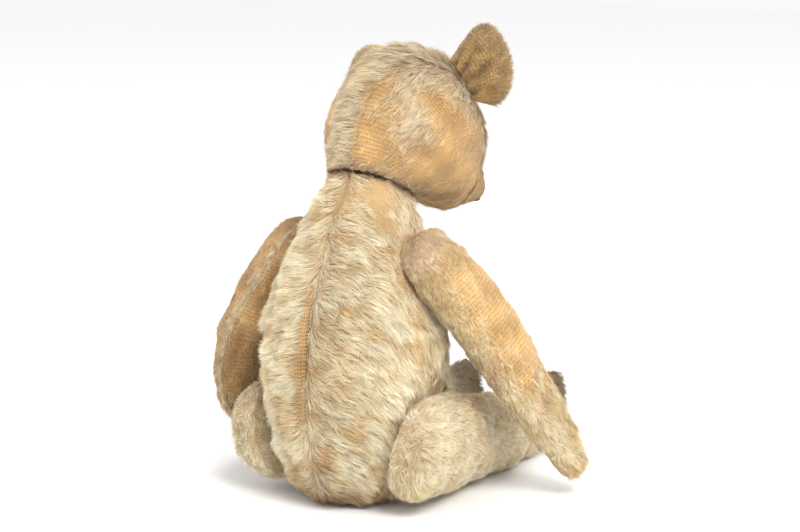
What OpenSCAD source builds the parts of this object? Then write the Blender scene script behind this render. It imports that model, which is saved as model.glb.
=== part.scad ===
// Antique style jointed teddy bear, seated. It faces -Y, its left side is +X and the seat is z = 0.
// Each limb and the head turn on a pair of card discs held by a split pin.

/* [Torso] */
// height of the neck joint above the seat
body_h = 199; // [150:1:260]
// widest width of the torso
body_w = 119; // [90:1:160]
// deepest depth of the torso
body_d = 115; // [90:1:160]
// how far the neck joint sits forward of the seat's middle
body_lean = 21; // [0:1:40]

/* [Head] */
// forward lean of the neck joint
neck_lean = 27; // [0:1:45]
// turn of the head to the bear's right
head_turn = 13; // [-80:1:80]
// width of the head at the cheeks
head_w = 97; // [70:1:130]
// nose tip to nape
head_l = 134; // [100:1:180]
// ear height
ear_h = 36; // [20:1:45]
// ear width at the head
ear_w = 38; // [20:1:50]
// eye diameter
eye_d = 9; // [5:0.5:14]

/* [Arms] */
// shoulder joint to paw tip
arm_l = 176; // [120:1:220]
// arm width at the elbow
arm_w = 46; // [25:1:55]
// half the distance between the shoulder joints
shoulder_x = 41.5; // [30:0.5:60]
// height of the shoulder joints
shoulder_z = 155; // [120:1:200]
// upward tilt of the shoulder axes
shoulder_tilt = 20; // [0:1:30]
// right arm swung forward from hanging straight down
arm_right_swing = 25; // [-40:1:90]
// left arm swung forward from hanging straight down
arm_left_swing = -8; // [-40:1:90]
// bend stuffed into the right elbow
arm_right_bend = 3; // [0:1:60]
// bend stuffed into the left elbow
arm_left_bend = 48; // [0:1:60]

/* [Legs] */
// hip joint to sole
leg_l = 183; // [110:1:200]
// thigh height beside the hip
thigh_w = 67; // [45:1:85]
// foot length, heel to toe
foot_l = 49; // [40:1:80]
// half the distance between the hip joints
hip_x = 45; // [35:0.5:65]
// height of the hip joints
hip_z = 40; // [28:0.5:60]
// inward convergence of the legs
hip_in = 10; // [0:1:25]
// downward tilt of the hip axes
hip_tilt = 12; // [0:1:25]
// downward pitch of the legs from level
leg_pitch = 4; // [-10:0.5:20]

/* [Cloth and joints] */
// mohair cloth thickness
cloth = 1.3; // [0.8:0.1:3]
// gap between the two faces of a joint
joint_gap = 0.35; // [0.3:0.05:1]
// card disc thickness
card = 2.4; // [1.5:0.1:4]
// neck disc radius
neck_r = 19; // [14:0.5:26]
// shoulder disc radius
arm_r = 12.5; // [10:0.5:20]
// hip disc radius
leg_r = 16; // [14:0.5:26]
// washer radius
washer_r = 6.5; // [4:0.5:10]
// split pin shaft radius
pin_r = 1.1; // [0.8:0.1:2]

/* [Hidden] */
fit = 0.15;
washer_t = 0.8;
bore_r = pin_r + 0.1;
neck = [0, -body_lean, body_h];
neck_up = [0, -sin(neck_lean), cos(neck_lean)];
neck_fwd = [0, -cos(neck_lean), -sin(neck_lean)];
head_fwd = cos(head_turn) * neck_fwd - sin(head_turn) * [1, 0, 0];
head_left = cos(head_turn) * [1, 0, 0] + sin(head_turn) * neck_fwd;
head_frame = [neck, head_left, head_fwd, neck_up];

// joint frames: origin, along the limb, towards the limb's front, outwards along the axis
function arm_frame(side, swing) =
    let(down = [side * sin(shoulder_tilt), 0, -cos(shoulder_tilt)], fwd = [0, -1, 0])
    [[side * shoulder_x, -12, shoulder_z],
     cos(swing) * down + sin(swing) * fwd,
     cos(swing) * fwd - sin(swing) * down,
     [side * cos(shoulder_tilt), 0, sin(shoulder_tilt)]];
function leg_frame(side) =
    let(ahead = [-side * sin(hip_in), -cos(hip_in), 0],
        up = [side * cos(hip_in) * sin(hip_tilt), -sin(hip_in) * sin(hip_tilt), cos(hip_tilt)])
    [[side * hip_x, -6, hip_z],
     cos(leg_pitch) * ahead - sin(leg_pitch) * up,
     sin(leg_pitch) * ahead + cos(leg_pitch) * up,
     [side * cos(hip_in) * cos(hip_tilt), -sin(hip_in) * cos(hip_tilt), -sin(hip_tilt)]];
function place(frame, p) = frame[0] + p[0] * frame[1] + p[1] * frame[2] + p[2] * frame[3];
function signed(frame, p) = (p - frame[0]) * frame[3];

// smooth curve through the rows of a table, row number s
function spline(a, b, c, d, t) =
    0.5 * (2 * b + (c - a) * t + (2 * a - 5 * b + 4 * c - d) * t * t + (3 * b - a - 3 * c + d) * t * t * t);
function row(table, s) =
    let(n = len(table) - 1, i = min(n - 1, max(0, floor(s))))
    spline(table[max(0, i - 1)], table[i], table[i + 1], table[min(n, i + 2)], s - i);

// torso rings: forward offset share, height share, tilt share, half width share, half depth share
torso_rings = [
    [0.05, 0, 0, 0, 0],
    [0.05, 0, 0, 0.38, 0.42],
    [0.07, 0.03, 0, 0.56, 0.61],
    [0.12, 0.09, 0, 0.71, 0.77],
    [0.17, 0.20, 0.04, 0.87, 0.92],
    [0.19, 0.33, 0.08, 0.965, 0.995],
    [0.21, 0.455, 0.15, 1.005, 1.0],
    [0.28, 0.57, 0.26, 0.97, 0.96],
    [0.40, 0.68, 0.41, 0.89, 0.87],
    [0.57, 0.78, 0.59, 0.78, 0.765],
    [0.76, 0.865, 0.76, 0.67, 0.66],
    [0.88, 0.92, 0.88, 0.57, 0.575],
    [0.97, 0.965, 0.96, 0.505, 0.515],
    [1, 1, 1, 0.46, 0.47],
    [1, 1, 1, 0.04, 0.04]];
function torso_raw(s, a) =
    let(k = row(torso_rings, s), tilt = neck_lean * k[2], back = body_d / 2 * k[4] * cos(a))
    [body_w / 2 * k[3] * sin(a), -body_lean * k[0] + back * cos(tilt), body_h * k[1] + back * sin(tilt)];
function below(p, frame, d) = p - max(0, signed(frame, p) + d) * frame[3];
function torso_press(p, d) =
    let(q = below(below(p, arm_frame(1, 0), d), arm_frame(-1, 0), d),
        r = below(below(q, leg_frame(1), d), leg_frame(-1), d),
        t = below(r, head_frame, d))
    [t[0], t[1], max(d, t[2])];

// head rings in the head's side view: outer point forward and up, inner point forward and up, half width
head_rings = [
    [-2.4, 0, 2.4, 0, 2.4],
    [-26.5, 0, 26.5, 0, 26.5],
    [-30.5, 4, 31, 1.5, 31.5],
    [-34, 20, 35, 3, 39],
    [-35.5, 39, 42, 4, 45.5],
    [-32, 59, 48, 4.5, 49],
    [-23, 77.5, 53, 5, 50.5],
    [-8.5, 91, 58, 5.5, 50],
    [10, 97, 63, 6.5, 47],
    [28.5, 93.5, 68, 8, 41.5],
    [41.5, 82, 72, 9.5, 31],
    [50, 67.5, 76, 12, 22],
    [60, 57, 80, 14.5, 18],
    [70, 51.5, 84, 17, 17],
    [79.5, 47, 88, 20, 15.5],
    [87, 41.5, 91, 23.5, 11.5],
    [92, 32, 92, 32, 0]];
function head_raw(s, a) =
    let(k = row(head_rings, s), c = cos(a), f = head_l / 134)
    [head_w / 98 * k[4] * sin(a), f * ((k[0] + k[2]) / 2 + (k[0] - k[2]) / 2 * c), (k[1] + k[3]) / 2 + (k[1] - k[3]) / 2 * c];
function head_press(p, d) = [p[0], p[1], max(joint_gap + d, p[2])];
// half angle of the gusset at each head ring
gusset_half = [25, 25, 21, 16, 15, 17, 26, 38, 47, 47, 44, 42, 42, 43, 46, 52, 60];

// arm rings: distance from the shoulder as a share, half width share, inner face, outer face
arm_rings = [
    [-0.105, 0, 10, 10],
    [-0.096, 0.38, 2, 18],
    [-0.075, 0.68, -5, 22],
    [-0.043, 0.86, -8, 25.5],
    [0, 0.95, -8, 29],
    [0.10, 1.04, -7, 33.5],
    [0.23, 1.10, -1, 36.5],
    [0.36, 1.12, 3.5, 38],
    [0.49, 1.08, 5.5, 37.5],
    [0.61, 1.0, 7, 35],
    [0.72, 0.88, 8, 33.5],
    [0.82, 0.77, 9, 31.5],
    [0.90, 0.66, 9.5, 30],
    [0.955, 0.58, 10.5, 28.5],
    [0.988, 0.38, 13, 25.5],
    [1, 0, 19, 19]];
elbow = [0.34, 0.68];
function bent(u, v, bend) =
    let(e0 = elbow[0] * arm_l, e1 = elbow[1] * arm_l, turn = max(0.01, bend), r = (e1 - e0) / (turn * PI / 180),
        b = min(turn, max(0, (u - e0) / r * 180 / PI)), past = max(0, u - e1), start = min(u, e0))
    [start + r * sin(b) + past * cos(b) - v * sin(b), r * (1 - cos(b)) + past * sin(b) + v * cos(b)];
function arm_raw(s, a, bend) =
    let(k = row(arm_rings, s), q = bent(k[0] * arm_l, k[1] * arm_w / 2 * sin(a), bend))
    [q[0], q[1], (k[2] + k[3]) / 2 + (k[3] - k[2]) / 2 * cos(a)];

// leg rings: distance from the hip as a share, back edge, front edge, inner face, outer face
leg_rings = [
    [-0.24, 0, 0, 12, 12],
    [-0.229, -13, 13, 1, 21],
    [-0.195, -24.5, 24.5, -8, 26],
    [-0.12, -31.5, 31.5, -12, 29],
    [0, -33.5, 33.5, -12, 30.5],
    [0.12, -33.5, 33.5, -10, 31.5],
    [0.26, -31.5, 30.5, -5, 32.5],
    [0.41, -30, 27.5, 0, 34],
    [0.56, -28.5, 24.5, 3, 36],
    [0.69, -27.5, 22.5, 5, 36.5],
    [0.79, -27, 21.5, 6.5, 36.5],
    [0.855, -27, 25, 7, 36],
    [0.91, -26.5, 30, 7, 35.5],
    [0.955, -25.5, 33, 7.5, 34.5],
    [0.985, -24, 33.5, 8.5, 33.5],
    [1, -22, 32, 10, 32],
    [1, 8, 8, 20.5, 20.5]];
function leg_raw(s, a) =
    let(k = row(leg_rings, s), w = thigh_w / 67, f = 1 + (foot_l / 56 - 1) * min(1, max(0, (s - 9) / 3)))
    [min(1, k[0]) * leg_l, w * f * ((k[1] + k[2]) / 2 + (k[2] - k[1]) / 2 * sin(a)), (k[3] + k[4]) / 2 + (k[4] - k[3]) / 2 * cos(a)];
function limb_press(p, d, end) = [min(end - d, p[0]), p[1], max(joint_gap + d, p[2])];

// point at depth d under a part's outer face, in the row frame
function raw(kind, s, a) =
    kind == "torso" ? torso_raw(s, a) :
    kind == "head" ? head_raw(s, a) :
    kind == "leg_left" || kind == "leg_right" ? leg_raw(s, a) :
    arm_raw(s, a, kind == "arm_left" ? arm_left_bend : arm_right_bend);
function rings(kind) =
    kind == "torso" ? len(torso_rings) - 1 :
    kind == "head" ? len(head_rings) - 1 :
    kind == "leg_left" || kind == "leg_right" ? len(leg_rings) - 1 : len(arm_rings) - 1;
function outwards(kind) = kind == "head" ? 1 : -1;
function normal(kind, s, a) =
    let(n = rings(kind), s0 = max(0.04, s - 0.04), s1 = min(n - 0.04, s + 0.04),
        along = raw(kind, s1, a) - raw(kind, s0, a),
        around = raw(kind, min(n - 0.04, max(0.04, s)), a + 2) - raw(kind, min(n - 0.04, max(0.04, s)), a - 2),
        c = cross(around, along))
    outwards(kind) * c / max(1e-6, norm(c));
function at(kind, s, a, d) =
    let(p = raw(kind, s, a) - d * normal(kind, s, a))
    kind == "torso" ? torso_press(p, d) :
    kind == "head" ? place(head_frame, head_press(p, d)) :
    kind == "leg_left" ? place(leg_frame(1), limb_press(p, d, leg_l)) :
    kind == "leg_right" ? place(leg_frame(-1), limb_press(p, d, leg_l)) :
    kind == "arm_left" ? place(arm_frame(1, arm_left_swing), limb_press(p, d, arm_l)) :
    place(arm_frame(-1, arm_right_swing), limb_press(p, d, arm_l));

function quad(a, b, c, d, flip) = flip ? [[a, c, b], [b, c, d]] : [[a, b, c], [b, d, c]];
function apart(points, f) =
    norm(points[f[0]] - points[f[1]]) > 1e-5 &&
    norm(points[f[1]] - points[f[2]]) > 1e-5 &&
    norm(points[f[0]] - points[f[2]]) > 1e-5;

// a closed sheet between two grids of points that have the same rows and columns
module sheet(top, under, flip = false) {
    n = len(top) - 1;
    m = len(top[0]) - 1;
    points = concat([for (r = top) for (p = r) p], [for (r = under) for (p = r) p]);
    w = m + 1;
    o = (n + 1) * w;
    faces = concat(
        [for (i = [0:n - 1]) for (j = [0:m - 1]) for (f = quad(i * w + j, i * w + j + 1, i * w + w + j, i * w + w + j + 1, flip)) f],
        [for (i = [0:n - 1]) for (j = [0:m - 1]) for (f = quad(o + i * w + j, o + i * w + j + 1, o + i * w + w + j, o + i * w + w + j + 1, !flip)) f],
        [for (i = [0:n - 1]) for (f = quad(i * w, i * w + w, o + i * w, o + i * w + w, flip)) f],
        [for (i = [0:n - 1]) for (f = quad(i * w + m, i * w + w + m, o + i * w + m, o + i * w + w + m, !flip)) f],
        [for (j = [0:m - 1]) for (f = quad(j, j + 1, o + j, o + j + 1, !flip)) f],
        [for (j = [0:m - 1]) for (f = quad(n * w + j, n * w + j + 1, o + n * w + j, o + n * w + j + 1, flip)) f]);
    polyhedron(points, [for (f = faces) if (apart(points, f)) f], convexity = 8);
}

// a closed solid from rings of points; its first and last rings are single points
module filled(grid, flip = false) {
    n = len(grid) - 1;
    m = len(grid[0]);
    points = [for (r = grid) for (p = r) p];
    faces = [for (i = [0:n - 1]) for (j = [0:m - 1])
        for (f = quad(i * m + j, i * m + (j + 1) % m, i * m + m + j, i * m + m + (j + 1) % m, flip)) f];
    polyhedron(points, [for (f = faces) if (apart(points, f)) f], convexity = 8);
}

function grid(kind, d, s0, s1, n, a0, a1, m) =
    [for (i = [0:n]) let(s = s0 + (s1 - s0) * i / n) [for (j = [0:m]) at(kind, s, a0 + (a1 - a0) * j / m, d)]];
module cloth_panel(kind, s0, s1, n, a0, a1, m, flip) {
    sheet(grid(kind, 0, s0, s1, n, a0, a1, m), grid(kind, cloth, s0, s1, n, a0, a1, m), flip);
}
function middle(r) = let(c = [for (p = r) 1] * r / len(r)) [for (p = r) c];
function wool_grid(kind, s1, n, m) =
    [for (i = [0:n]) [for (j = [0:m - 1]) at(kind, s1 * i / n, 360 * j / m, cloth + fit)]];
module wool(g, flip) {
    filled(concat([middle(g[0])], g, [middle(g[len(g) - 1])]), flip);
}

// turns +Z onto a joint's outward axis at its origin
module on_axis(frame) {
    n = frame[3];
    translate(frame[0]) rotate([0, acos(n[2]), atan2(n[1], n[0])]) children();
}
arm_L = arm_frame(1, arm_left_swing);
arm_R = arm_frame(-1, arm_right_swing);
leg_L = leg_frame(1);
leg_R = leg_frame(-1);

// joint parts on +Z: the limb is above z = 0 and the torso below it
disc_in = cloth + 0.5;
washer_in = disc_in + card + 0.05;
pin_in = washer_in + washer_t + 0.1;
module body_disc(r) {
    difference() {
        translate([0, 0, -disc_in - card]) cylinder(r = r, h = card, $fn = 96);
        translate([0, 0, -disc_in - card - 1]) cylinder(r = bore_r, h = card + 2, $fn = 48);
    }
}
module limb_disc(r) {
    difference() {
        translate([0, 0, joint_gap + disc_in]) cylinder(r = r, h = card, $fn = 96);
        translate([0, 0, joint_gap + disc_in - 1]) cylinder(r = bore_r, h = card + 2, $fn = 48);
    }
}
module body_washer() {
    difference() {
        translate([0, 0, -washer_in - washer_t]) cylinder(r = washer_r, h = washer_t, $fn = 64);
        translate([0, 0, -washer_in - washer_t - 1]) cylinder(r = bore_r, h = washer_t + 2, $fn = 48);
    }
}
module limb_washer() {
    difference() {
        translate([0, 0, joint_gap + washer_in]) cylinder(r = washer_r, h = washer_t, $fn = 64);
        translate([0, 0, joint_gap + washer_in - 1]) cylinder(r = bore_r, h = washer_t + 2, $fn = 48);
    }
}
module split_pin() {
    eye_z = joint_gap + pin_in + 2.9;
    tail_z = -pin_in - 3.6;
    translate([0, 0, tail_z]) cylinder(r = pin_r, h = eye_z - 2 - tail_z, $fn = 48);
    translate([0, 0, eye_z]) rotate([90, 0, 0]) rotate_extrude($fn = 48) translate([2.1, 0]) circle(r = 0.8, $fn = 24);
    for (side = [-1, 1])
        translate([side * 3.1, 0, tail_z + 0.4]) rotate([90, 0, 0])
            rotate([0, 0, side > 0 ? 180 : 90]) rotate_extrude(angle = 270, $fn = 48) translate([2.5, 0]) circle(r = 0.55, $fn = 24);
}
module body_pocket(r) {
    translate([0, 0, -washer_in + 0.02]) cylinder(r = r + 0.25, h = 8, $fn = 96);
    translate([0, 0, -pin_in - 12]) cylinder(r = 8.5, h = 16, $fn = 64);
}
module limb_pocket(r) {
    translate([0, 0, -6]) cylinder(r = r + 0.25, h = joint_gap + washer_in + 6 - 0.02, $fn = 96);
    translate([0, 0, 0]) cylinder(r = 8.5, h = joint_gap + pin_in + 7, $fn = 64);
}
module pin_hole() {
    translate([0, 0, -6]) cylinder(r = 2, h = 12, $fn = 48);
}

// torso
torso_n = 18;
back_s = [4.5, 7.6];
module torso_panel(side) {
    difference() {
        cloth_panel("torso", 0, rings("torso"), torso_n, side > 0 ? 0 : 180, side > 0 ? 180 : 360, 12, true);
        on_axis(side > 0 ? arm_L : arm_R) pin_hole();
        on_axis(side > 0 ? leg_L : leg_R) pin_hole();
    }
}
module torso_left_panel() {
    color([0.85, 0.76, 0.60]) torso_panel(1);
}
module torso_right_panel() {
    color([0.84, 0.75, 0.60]) torso_panel(-1);
}
module torso_stuffing() {
    color([0.80, 0.70, 0.50]) difference() {
        wool(wool_grid("torso", rings("torso"), torso_n, 24), true);
        on_axis(arm_L) body_pocket(arm_r);
        on_axis(arm_R) body_pocket(arm_r);
        on_axis(leg_L) body_pocket(leg_r);
        on_axis(leg_R) body_pocket(leg_r);
        on_axis(head_frame) body_pocket(neck_r);
    }
}
// closing stitches that lace the back seam, one short bar of thread each
module back_stitches() {
    color([0.70, 0.56, 0.36]) for (i = [0:9]) {
        s = back_s[0] + (back_s[1] - back_s[0]) * i / 9;
        p = at("torso", s, 0, -0.75);
        translate(p) rotate([0, 90, 10]) translate([0, 0, -2.2]) cylinder(r = 0.35, h = 4.4, $fn = 24);
    }
}
module neck_body_disc() {
    color([0.62, 0.48, 0.32]) on_axis(head_frame) body_disc(neck_r);
}
module arm_left_body_disc() {
    color([0.62, 0.48, 0.32]) on_axis(arm_L) body_disc(arm_r);
}
module arm_right_body_disc() {
    color([0.62, 0.48, 0.32]) on_axis(arm_R) body_disc(arm_r);
}
module leg_left_body_disc() {
    color([0.62, 0.48, 0.32]) on_axis(leg_L) body_disc(leg_r);
}
module leg_right_body_disc() {
    color([0.62, 0.48, 0.32]) on_axis(leg_R) body_disc(leg_r);
}
module body_washers() {
    color([0.55, 0.55, 0.55]) {
        on_axis(head_frame) body_washer();
        on_axis(arm_L) body_washer();
        on_axis(arm_R) body_washer();
        on_axis(leg_L) body_washer();
        on_axis(leg_R) body_washer();
    }
}

// head
head_n = 20;
function half(s) = row([for (g = gusset_half) [g]], s)[0];
function head_grid(d, side, m) =
    [for (i = [0:head_n]) let(s = rings("head") * i / head_n, w = half(s))
        [for (j = [0:m]) at("head", s, side == 0 ? -w + 2 * w * j / m : side > 0 ? w + (180 - w) * j / m : 180 + (180 - w) * j / m, d)]];
// the stuffing's rings follow the gusset and the two sides point for point
function open_row(r) = [for (j = [0:len(r) - 2]) r[j]];
function head_wool_grid() =
    let(d = cloth + fit, g = head_grid(d, 0, 8), l = head_grid(d, 1, 10), r = head_grid(d, -1, 10))
    [for (i = [0:head_n]) concat(open_row(g[i]), open_row(l[i]), open_row(r[i]))];
eye_s = 11.1;
eye_a = 54;
function eye_origin(side) = at("head", eye_s, side * eye_a, -0.8);
function eye_normal(side) =
    let(n = normal("head", eye_s, side * eye_a)) n[0] * head_left + n[1] * head_fwd + n[2] * neck_up;
module on_eye(side) {
    n = eye_normal(side);
    translate(eye_origin(side)) rotate([0, acos(n[2]), atan2(n[1], n[0])]) children();
}
module eye_hole(side) {
    on_eye(side) translate([0, 0, -9]) cylinder(r = 0.9, h = 14, $fn = 32);
}
module eye(side) {
    color([0.05, 0.04, 0.04]) on_eye(side) {
        difference() {
            scale([1, 1, 0.8]) sphere(d = eye_d, $fn = 48);
            translate([0, 0, -eye_d]) cube([2 * eye_d, 2 * eye_d, 2 * eye_d], center = true);
        }
        translate([0, 0, -7]) cylinder(r = 0.7, h = 8, $fn = 32);
    }
}
module head_side(side) {
    difference() {
        sheet(head_grid(0, side, 10), head_grid(cloth, side, 10));
        eye_hole(side);
    }
}
module head_left_panel() {
    color([0.80, 0.66, 0.45]) head_side(1);
}
module head_right_panel() {
    color([0.80, 0.66, 0.46]) head_side(-1);
}
module head_gusset() {
    color([0.72, 0.62, 0.48]) sheet(head_grid(0, 0, 8), head_grid(cloth, 0, 8));
}
module head_stuffing() {
    color([0.80, 0.70, 0.50]) difference() {
        wool(head_wool_grid(), false);
        on_axis(head_frame) limb_pocket(neck_r);
        eye_hole(1);
        eye_hole(-1);
    }
}
// ear cloth: columns follow the head from crown to cheek, rows rise away from it
function ear_point(side, i, j, off) =
    let(t = i / 12, x = 2 * t - 1, h = ear_h * sqrt(1 - 0.95 * pow(abs(x), 2.4)) * j / 5, lean = side < 0 ? 10 + 74 * t : 44 + 42 * t,
        b = raw("head", 8 - 0.2 * t, side * (33 + ear_w * t)),
        out = [side * sin(lean), -0.2 * cos(lean), cos(lean)],
        cup = 7 * x * x * j / 5 + 3 * (j / 5) * (j / 5))
    place(head_frame, b + (0.9 + h) * out + [0, cup + off, 0]);
module ear(side, near, far) {
    top = [for (j = [0:5]) [for (i = [0:12]) ear_point(side, i, j, near)]];
    under = [for (j = [0:5]) [for (i = [0:12]) ear_point(side, i, j, far)]];
    sheet(top, under, side > 0);
}
module ear_left_front() {
    color([0.70, 0.58, 0.38]) ear(1, 1.6, 0.15);
}
module ear_left_back() {
    color([0.70, 0.58, 0.38]) ear(1, -0.15, -1.6);
}
module ear_right_front() {
    color([0.70, 0.58, 0.38]) ear(-1, 1.6, 0.15);
}
module ear_right_back() {
    color([0.70, 0.58, 0.38]) ear(-1, -0.15, -1.6);
}
module eye_left() {
    eye(1);
}
module eye_right() {
    eye(-1);
}
// thread laid over the muzzle: a patch between two ring numbers and two angles
module thread(s0, s1, n, a0, a1, m) {
    sheet(grid("head", -1.15, s0, s1, n, a0, a1, m), grid("head", -0.2, s0, s1, n, a0, a1, m));
}
module nose_stitching() {
    color([0.07, 0.06, 0.06]) thread(14.3, 15.85, 5, -62, 62, 8);
}
module mouth_stitching() {
    color([0.08, 0.07, 0.07]) {
        thread(15.0, 15.75, 3, 174, 186, 2);
        thread(13.5, 14.9, 4, 146, 152, 2);
        thread(13.5, 14.9, 4, 208, 214, 2);
    }
}
module neck_head_disc() {
    color([0.62, 0.48, 0.32]) on_axis(head_frame) limb_disc(neck_r);
}
module neck_head_washer() {
    color([0.55, 0.55, 0.55]) on_axis(head_frame) limb_washer();
}
module neck_pin() {
    color([0.45, 0.42, 0.40]) on_axis(head_frame) split_pin();
}

// arms: the outer cloth, the inner cloth and the felt pad that ends the inner cloth
arm_n = 18;
pad_s = 10.8;
module arm_outer(kind) {
    cloth_panel(kind, 0, rings(kind), arm_n, -90, 90, 8, kind == "arm_left");
}
module arm_inner(kind, frame) {
    difference() {
        cloth_panel(kind, 0, pad_s, 13, 90, 270, 8, kind == "arm_left");
        on_axis(frame) pin_hole();
    }
}
module arm_pad(kind) {
    cloth_panel(kind, pad_s, rings(kind), 6, 90, 270, 8, kind == "arm_left");
}
module arm_wool(kind, frame) {
    difference() {
        wool(wool_grid(kind, rings(kind), arm_n, 16), kind == "arm_left");
        on_axis(frame) limb_pocket(arm_r);
    }
}
module arm_left_outer() {
    color([0.66, 0.52, 0.34]) arm_outer("arm_left");
}
module arm_left_inner() {
    color([0.66, 0.53, 0.36]) arm_inner("arm_left", arm_L);
}
module arm_left_pad() {
    color([0.62, 0.48, 0.36]) arm_pad("arm_left");
}
module arm_left_stuffing() {
    color([0.80, 0.70, 0.50]) arm_wool("arm_left", arm_L);
}
module arm_left_disc() {
    color([0.62, 0.48, 0.32]) on_axis(arm_L) limb_disc(arm_r);
}
module arm_left_washer() {
    color([0.55, 0.55, 0.55]) on_axis(arm_L) limb_washer();
}
module arm_left_pin() {
    color([0.45, 0.42, 0.40]) on_axis(arm_L) split_pin();
}
module arm_right_outer() {
    color([0.84, 0.69, 0.48]) arm_outer("arm_right");
}
module arm_right_inner() {
    color([0.80, 0.68, 0.50]) arm_inner("arm_right", arm_R);
}
module arm_right_pad() {
    color([0.62, 0.48, 0.36]) arm_pad("arm_right");
}
module arm_right_stuffing() {
    color([0.80, 0.70, 0.50]) arm_wool("arm_right", arm_R);
}
module arm_right_disc() {
    color([0.62, 0.48, 0.32]) on_axis(arm_R) limb_disc(arm_r);
}
module arm_right_washer() {
    color([0.55, 0.55, 0.55]) on_axis(arm_R) limb_washer();
}
module arm_right_pin() {
    color([0.45, 0.42, 0.40]) on_axis(arm_R) split_pin();
}

// legs: the outer cloth, the inner cloth and the felt sole laid over the end
leg_n = 20;
module leg_outer(kind) {
    cloth_panel(kind, 0, rings(kind) - 1, leg_n, -90, 90, 10, kind == "leg_left");
}
module leg_inner(kind, frame) {
    difference() {
        cloth_panel(kind, 0, rings(kind) - 1, leg_n, 90, 270, 10, kind == "leg_left");
        on_axis(frame) pin_hole();
    }
}
function sole_point(frame, a, f, u) =
    let(p = leg_raw(rings("leg_left") - 1, a), c = [leg_l, leg_raw(rings("leg_left"), 0)[1], 17])
    place(frame, [u, c[1] + (p[1] - c[1]) * f, c[2] + (p[2] - c[2]) * f]);
module leg_sole(frame, flip) {
    filled([for (k = [[0, 0.1], [0.96, 0.1], [0.98, 0.9], [0.92, 1.5], [0, 1.5]])
        [for (j = [0:19]) sole_point(frame, 18 * j, k[0], leg_l + k[1])]], flip);
}
module leg_wool(kind, frame) {
    difference() {
        wool(wool_grid(kind, rings(kind) - 1, leg_n, 20), kind == "leg_left");
        on_axis(frame) limb_pocket(leg_r);
    }
}
module leg_left_outer() {
    color([0.84, 0.76, 0.62]) leg_outer("leg_left");
}
module leg_left_inner() {
    color([0.83, 0.76, 0.63]) leg_inner("leg_left", leg_L);
}
module leg_left_sole() {
    color([0.60, 0.47, 0.35]) leg_sole(leg_L, true);
}
module leg_left_stuffing() {
    color([0.80, 0.70, 0.50]) leg_wool("leg_left", leg_L);
}
module leg_left_disc() {
    color([0.62, 0.48, 0.32]) on_axis(leg_L) limb_disc(leg_r);
}
module leg_left_washer() {
    color([0.55, 0.55, 0.55]) on_axis(leg_L) limb_washer();
}
module leg_left_pin() {
    color([0.45, 0.42, 0.40]) on_axis(leg_L) split_pin();
}
module leg_right_outer() {
    color([0.85, 0.77, 0.64]) leg_outer("leg_right");
}
module leg_right_inner() {
    color([0.84, 0.76, 0.63]) leg_inner("leg_right", leg_R);
}
module leg_right_sole() {
    color([0.60, 0.47, 0.35]) leg_sole(leg_R, false);
}
module leg_right_stuffing() {
    color([0.80, 0.70, 0.50]) leg_wool("leg_right", leg_R);
}
module leg_right_disc() {
    color([0.62, 0.48, 0.32]) on_axis(leg_R) limb_disc(leg_r);
}
module leg_right_washer() {
    color([0.55, 0.55, 0.55]) on_axis(leg_R) limb_washer();
}
module leg_right_pin() {
    color([0.45, 0.42, 0.40]) on_axis(leg_R) split_pin();
}

torso_left_panel();
torso_right_panel();
torso_stuffing();
back_stitches();
neck_body_disc();
arm_left_body_disc();
arm_right_body_disc();
leg_left_body_disc();
leg_right_body_disc();
body_washers();
head_left_panel();
head_right_panel();
head_gusset();
head_stuffing();
ear_left_front();
ear_left_back();
ear_right_front();
ear_right_back();
eye_left();
eye_right();
nose_stitching();
mouth_stitching();
neck_head_disc();
neck_head_washer();
neck_pin();
arm_left_outer();
arm_left_inner();
arm_left_pad();
arm_left_stuffing();
arm_left_disc();
arm_left_washer();
arm_left_pin();
arm_right_outer();
arm_right_inner();
arm_right_pad();
arm_right_stuffing();
arm_right_disc();
arm_right_washer();
arm_right_pin();
leg_left_outer();
leg_left_inner();
leg_left_sole();
leg_left_stuffing();
leg_left_disc();
leg_left_washer();
leg_left_pin();
leg_right_outer();
leg_right_inner();
leg_right_sole();
leg_right_stuffing();
leg_right_disc();
leg_right_washer();
leg_right_pin();
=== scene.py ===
import math
import bpy
import numpy as np
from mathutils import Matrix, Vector


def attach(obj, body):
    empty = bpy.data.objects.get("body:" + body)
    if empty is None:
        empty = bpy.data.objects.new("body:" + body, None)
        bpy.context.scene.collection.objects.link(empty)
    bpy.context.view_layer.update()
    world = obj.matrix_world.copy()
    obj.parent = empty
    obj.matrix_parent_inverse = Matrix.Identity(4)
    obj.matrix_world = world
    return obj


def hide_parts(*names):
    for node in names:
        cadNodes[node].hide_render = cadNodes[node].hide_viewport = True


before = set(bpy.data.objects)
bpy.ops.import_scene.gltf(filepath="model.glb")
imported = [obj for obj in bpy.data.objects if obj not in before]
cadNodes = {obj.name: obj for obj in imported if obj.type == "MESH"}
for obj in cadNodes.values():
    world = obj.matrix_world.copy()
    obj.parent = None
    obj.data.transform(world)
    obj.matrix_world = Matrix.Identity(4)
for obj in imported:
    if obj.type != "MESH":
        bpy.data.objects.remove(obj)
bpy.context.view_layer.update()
scene = bpy.context.scene

# the bear is seen from behind and from its right side
view = dict(azimuth=214, elevation=10, distance=1.6, lens=112.5, target=(-0.0106, -0.0381, 0.1455))


def addCamera(view):
    az, el = math.radians(view["azimuth"]), math.radians(view["elevation"])
    back = Vector((math.sin(az) * math.cos(el), -math.cos(az) * math.cos(el), math.sin(el)))
    data = bpy.data.cameras.new("studioCamera")
    data.lens = view["lens"]
    data.clip_end = 20
    camera = bpy.data.objects.new("studioCamera", data)
    camera.location = Vector(view["target"]) + back * view["distance"]
    camera.rotation_euler = (-back).to_track_quat("-Z", "Y").to_euler()
    scene.collection.objects.link(camera)
    scene.camera = camera


addCamera(view)
print("camera placed")


# small maths, all in millimetres until a mesh is made

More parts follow.
